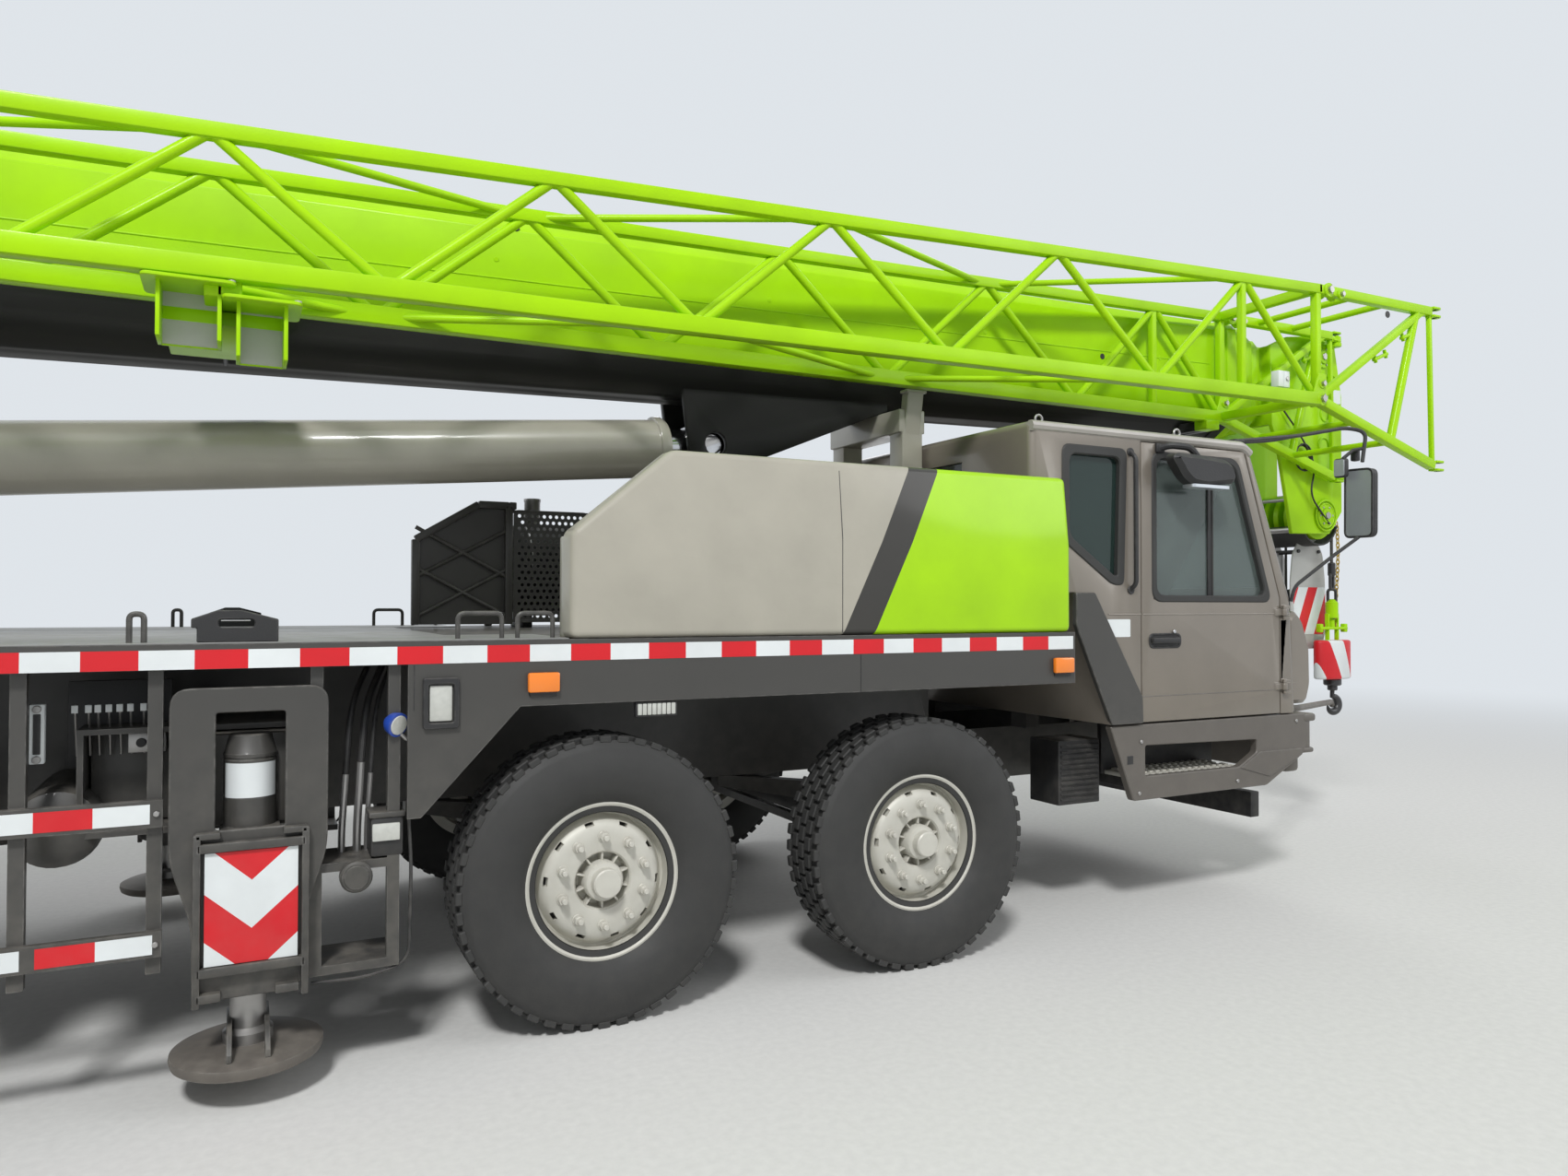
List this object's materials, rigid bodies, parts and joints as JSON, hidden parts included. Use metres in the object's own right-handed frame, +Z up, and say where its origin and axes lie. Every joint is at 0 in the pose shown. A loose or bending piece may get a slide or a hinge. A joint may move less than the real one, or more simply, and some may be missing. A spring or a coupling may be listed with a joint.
{
  "type": "truck-mounted telescopic crane",
  "caption": "Four-axle truck crane stowed for the road: telescopic boom with side-folded lattice jib, outriggers, slewing turntable and driver's cab.",
  "frame": {"origin": "centre of the machine's bounding box, on the ground", "axes": "+X forward, towards the driver's cab and boom head; +Y to the machine's left; +Z up"},
  "size_m": [13.5856, 2.9838, 3.5395],
  "materials": {
    "carrier_grey": "dark charcoal chassis paint",
    "cab_grey": "taupe grey cab paint",
    "trim_beige": "light beige grey paint",
    "lime": "lime green paint",
    "boom_paint": "lime green above, black below",
    "rim_silver": "silver grey wheel paint",
    "tyre": "black rubber",
    "steel": "bare steel rod",
    "glass": "tinted window glass",
    "interior": "dark cab interior",
    "hook_paint": "green hook block with stripes",
    "mirror_black": "black mirror housing"
  },
  "bodies": {
    "carrier": {"chassis_frame": "carrier_grey", "axles": "carrier_grey", "leaf_springs": "carrier_grey", "deck": "carrier_grey", "side_guards": "carrier_grey", "tanks": "carrier_grey", "engine_block": "carrier_grey", "tool_box": "trim_beige", "exhaust_guard": "carrier_grey", "boom_rest": "carrier_grey", "cab_shell": "cab_grey", "cab_glass": "glass", "cab_interior": "interior", "front_bumper": "carrier_grey", "cab_mirrors": "mirror_black"},
    "door_right": {"cab_door_r": "cab_grey", "door_glass_r": "glass"},
    "door_left": {"cab_door_l": "cab_grey", "door_glass_l": "glass"},
    "steering_link": {"steering_rods": "carrier_grey"},
    "turntable": {"turntable_frame": "cab_grey", "winches": "steel", "counterweight": "trim_beige", "op_cab_shell": "cab_grey", "op_cab_glass": "glass"},
    "op_door": {"op_cab_door": "cab_grey"},
    "luff_barrel": {"luff_barrel": "trim_beige"},
    "luff_rod": {"luff_rod": "steel"},
    "boom_base": {"boom_base": "boom_paint"},
    "boom_2": {"boom_section_2": "boom_paint"},
    "boom_3": {"boom_section_3": "boom_paint"},
    "boom_4": {"boom_section_4": "boom_paint"},
    "boom_5": {"boom_section_5": "lime"},
    "jib": {"jib": "lime"},
    "main_hook": {"main_hook": "hook_paint"},
    "aux_hook": {"aux_hook": "hook_paint"},
    "knuckle_1r": {"knuckle_1r": "carrier_grey"},
    "wheel_1r": {"front_tyre_1r": "tyre", "front_rim_1r": "rim_silver"},
    "knuckle_1l": {"knuckle_1l": "carrier_grey"},
    "wheel_1l": {"front_tyre_1l": "tyre", "front_rim_1l": "rim_silver"},
    "knuckle_2r": {"knuckle_2r": "carrier_grey"},
    "wheel_2r": {"front_tyre_2r": "tyre", "front_rim_2r": "rim_silver"},
    "knuckle_2l": {"knuckle_2l": "carrier_grey"},
    "wheel_2l": {"front_tyre_2l": "tyre", "front_rim_2l": "rim_silver"},
    "wheels_3r": {"rear_wheels_3r": "tyre"},
    "wheels_3l": {"rear_wheels_3l": "tyre"},
    "wheels_4r": {"rear_wheels_4r": "tyre"},
    "wheels_4l": {"rear_wheels_4l": "tyre"},
    "beam_front_r": {"outrigger_beam_front_r": "carrier_grey"},
    "jack_front_r": {"jack_front_r": "steel"},
    "beam_front_l": {"outrigger_beam_front_l": "carrier_grey"},
    "jack_front_l": {"jack_front_l": "steel"},
    "beam_rear_r": {"outrigger_beam_rear_r": "carrier_grey"},
    "jack_rear_r": {"jack_rear_r": "steel"},
    "beam_rear_l": {"outrigger_beam_rear_l": "carrier_grey"},
    "jack_rear_l": {"jack_rear_l": "steel"}
  },
  "joints": [
    {"name": "door_right_swing", "type": "hinge", "parent": "carrier", "child": "door_right", "pos_m": [4.704, -1.268, 1.5], "axis": [0, 0, 1], "range_deg": [0, 70]},
    {"name": "door_left_swing", "type": "hinge", "parent": "carrier", "child": "door_left", "pos_m": [4.704, 1.268, 1.5], "axis": [0, 0, -1], "range_deg": [0, 70]},
    {"name": "steer_1r", "type": "hinge", "parent": "carrier", "child": "knuckle_1r", "pos_m": [2.25, -1.01, 0.55], "axis": [0, 0, 1], "range_deg": [-35, 35]},
    {"name": "spin_1r", "type": "hinge", "parent": "knuckle_1r", "child": "wheel_1r", "pos_m": [2.25, -1.203, 0.55], "axis": [0, 1, 0], "continuous": true},
    {"name": "steer_1l", "type": "hinge", "parent": "carrier", "child": "knuckle_1l", "pos_m": [2.25, 1.01, 0.55], "axis": [0, 0, 1], "range_deg": [-35, 35]},
    {"name": "spin_1l", "type": "hinge", "parent": "knuckle_1l", "child": "wheel_1l", "pos_m": [2.25, 1.203, 0.55], "axis": [0, 1, 0], "continuous": true},
    {"name": "steer_2r", "type": "hinge", "parent": "carrier", "child": "knuckle_2r", "pos_m": [0.8, -1.01, 0.55], "axis": [0, 0, 1], "range_deg": [-24.5, 24.5]},
    {"name": "spin_2r", "type": "hinge", "parent": "knuckle_2r", "child": "wheel_2r", "pos_m": [0.8, -1.203, 0.55], "axis": [0, 1, 0], "continuous": true},
    {"name": "steer_2l", "type": "hinge", "parent": "carrier", "child": "knuckle_2l", "pos_m": [0.8, 1.01, 0.55], "axis": [0, 0, 1], "range_deg": [-24.5, 24.5]},
    {"name": "spin_2l", "type": "hinge", "parent": "knuckle_2l", "child": "wheel_2l", "pos_m": [0.8, 1.203, 0.55], "axis": [0, 1, 0], "continuous": true},
    {"name": "steering_link_slide", "type": "slide", "parent": "carrier", "child": "steering_link", "axis": [0, 1, 0], "range_m": [-0.095, 0.095]},
    {"name": "spin_3r", "type": "hinge", "parent": "carrier", "child": "wheels_3r", "pos_m": [-3.305, -1.037, 0.55], "axis": [0, 1, 0], "continuous": true},
    {"name": "spin_3l", "type": "hinge", "parent": "carrier", "child": "wheels_3l", "pos_m": [-3.305, 1.037, 0.55], "axis": [0, 1, 0], "continuous": true},
    {"name": "spin_4r", "type": "hinge", "parent": "carrier", "child": "wheels_4r", "pos_m": [-4.655, -1.037, 0.55], "axis": [0, 1, 0], "continuous": true},
    {"name": "spin_4l", "type": "hinge", "parent": "carrier", "child": "wheels_4l", "pos_m": [-4.655, 1.037, 0.55], "axis": [0, 1, 0], "continuous": true},
    {"name": "extend_front_r", "type": "slide", "parent": "carrier", "child": "beam_front_r", "axis": [0, -1, 0], "range_m": [0, 1.75]},
    {"name": "lower_front_r", "type": "slide", "parent": "beam_front_r", "child": "jack_front_r", "axis": [0, 0, -1], "range_m": [0, 0.5]},
    {"name": "extend_front_l", "type": "slide", "parent": "carrier", "child": "beam_front_l", "axis": [0, 1, 0], "range_m": [0, 1.75]},
    {"name": "lower_front_l", "type": "slide", "parent": "beam_front_l", "child": "jack_front_l", "axis": [0, 0, -1], "range_m": [0, 0.5]},
    {"name": "extend_rear_r", "type": "slide", "parent": "carrier", "child": "beam_rear_r", "axis": [0, -1, 0], "range_m": [0, 1.75]},
    {"name": "lower_rear_r", "type": "slide", "parent": "beam_rear_r", "child": "jack_rear_r", "axis": [0, 0, -1], "range_m": [0, 0.5]},
    {"name": "extend_rear_l", "type": "slide", "parent": "carrier", "child": "beam_rear_l", "axis": [0, 1, 0], "range_m": [0, 1.75]},
    {"name": "lower_rear_l", "type": "slide", "parent": "beam_rear_l", "child": "jack_rear_l", "axis": [0, 0, -1], "range_m": [0, 0.5]},
    {"name": "slew", "type": "hinge", "parent": "carrier", "child": "turntable", "pos_m": [-3, 0, 1.5], "axis": [0, 0, 1], "continuous": true},
    {"name": "op_door_slide", "type": "slide", "parent": "turntable", "child": "op_door", "axis": [-1, 0, 0], "range_m": [0, 0.48]},
    {"name": "boom_luff", "type": "hinge", "parent": "turntable", "child": "boom_base", "pos_m": [-4.9, 0, 2.8], "axis": [0, -1, 0], "range_deg": [0, 78]},
    {"name": "luff_barrel_tilt", "type": "hinge", "parent": "turntable", "child": "luff_barrel", "pos_m": [-2.15, 0, 2.109], "axis": [0, -1, 0], "range_deg": [0, 93.4]},
    {"name": "luff_rod_slide", "type": "slide", "parent": "luff_barrel", "child": "luff_rod", "axis": [0.9966, 0, 0.0823], "range_m": [0, 3.3]},
    {"name": "extend_2", "type": "slide", "parent": "boom_base", "child": "boom_2", "axis": [0.9998, 0, 0.0209], "range_m": [0, 7.9]},
    {"name": "extend_3", "type": "slide", "parent": "boom_2", "child": "boom_3", "axis": [0.9998, 0, 0.0209], "range_m": [0, 7.9]},
    {"name": "extend_4", "type": "slide", "parent": "boom_3", "child": "boom_4", "axis": [0.9998, 0, 0.0209], "range_m": [0, 7.9]},
    {"name": "extend_5", "type": "slide", "parent": "boom_4", "child": "boom_5", "axis": [0.9998, 0, 0.0209], "range_m": [0, 7.9]},
    {"name": "jib_swing", "type": "hinge", "parent": "boom_5", "child": "jib", "pos_m": [6.48, -0.35, 3.03838], "axis": [-0.0209, 0, 0.9998], "range_deg": [0, 180]},
    {"name": "main_hook_hang", "type": "hinge", "parent": "boom_5", "child": "main_hook", "pos_m": [6.43427, 0, 2.23724], "axis": [0, -1, 0], "range_deg": [-78, 0]},
    {"name": "aux_hook_hang", "type": "hinge", "parent": "boom_5", "child": "aux_hook", "pos_m": [6.43427, 0, 2.23724], "axis": [0, -1, 0], "range_deg": [-78, 0]}
  ],
  "couplings": [
    {"joint": "steer_1l", "follows": "steer_1r", "ratio": 1},
    {"joint": "steer_2r", "follows": "steer_1r", "ratio": 0.7},
    {"joint": "steer_2l", "follows": "steer_1r", "ratio": 0.7},
    {"joint": "steering_link_slide", "follows": "steer_1r", "m_per_rad": -0.15},
    {"joint": "luff_barrel_tilt", "follows": "boom_luff", "ratio": 1.196},
    {"joint": "luff_rod_slide", "follows": "boom_luff", "m_per_rad": 2.407},
    {"joint": "extend_4", "follows": "extend_3", "ratio": 1},
    {"joint": "extend_5", "follows": "extend_3", "ratio": 1},
    {"joint": "main_hook_hang", "follows": "boom_luff", "ratio": -1},
    {"joint": "aux_hook_hang", "follows": "boom_luff", "ratio": -1}
  ]
}
